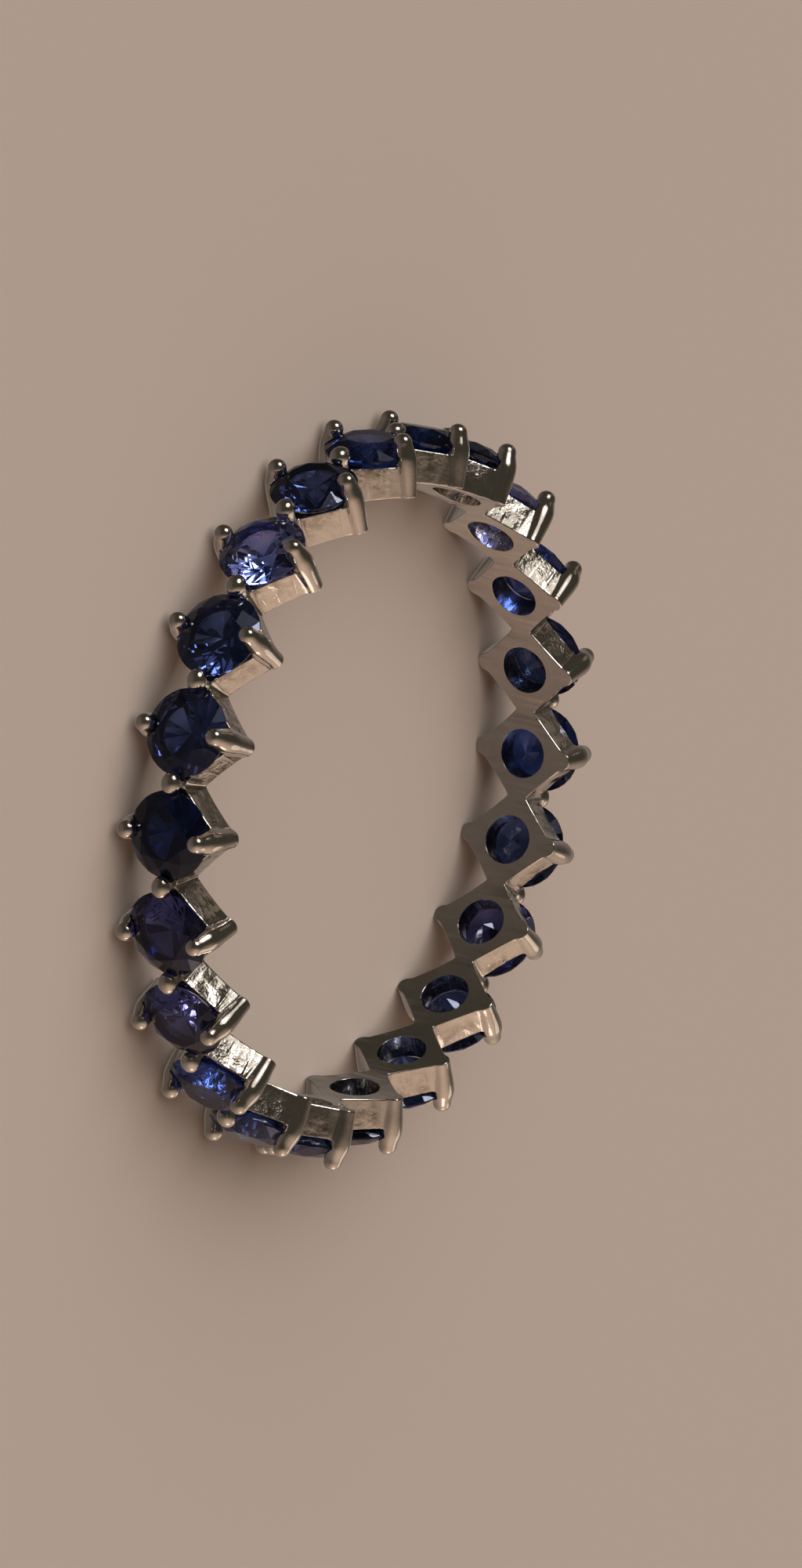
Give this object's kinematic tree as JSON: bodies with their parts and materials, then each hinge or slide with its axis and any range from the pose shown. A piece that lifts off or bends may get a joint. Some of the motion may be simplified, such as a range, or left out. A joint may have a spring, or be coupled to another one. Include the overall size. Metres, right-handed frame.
{
  "type": "sapphire eternity ring",
  "caption": "Full eternity ring: round faceted blue stones all round, each in a square basket turned on its corner, with shared round claw tips. Lies on its side.",
  "frame": {"origin": "on the surface that the ring lies on, below the middle of the finger hole", "axes": "+Z along the ring's axis, upwards out of the finger hole; +X runs between the last stone and the first"},
  "size_m": [0.02, 0.0202, 0.003],
  "materials": {
    "white_metal": "polished white gold",
    "sapphire": "polished facets, deep blue"
  },
  "bodies": {
    "root": {"band": "white_metal", "stone_01": "sapphire", "stone_02": "sapphire", "stone_03": "sapphire", "stone_04": "sapphire", "stone_05": "sapphire", "stone_06": "sapphire", "stone_07": "sapphire", "stone_08": "sapphire", "stone_09": "sapphire", "stone_10": "sapphire", "stone_11": "sapphire", "stone_12": "sapphire", "stone_13": "sapphire", "stone_14": "sapphire", "stone_15": "sapphire", "stone_16": "sapphire", "stone_17": "sapphire", "stone_18": "sapphire", "stone_19": "sapphire", "stone_20": "sapphire", "stone_21": "sapphire", "stone_22": "sapphire"}
  },
  "joints": []
}
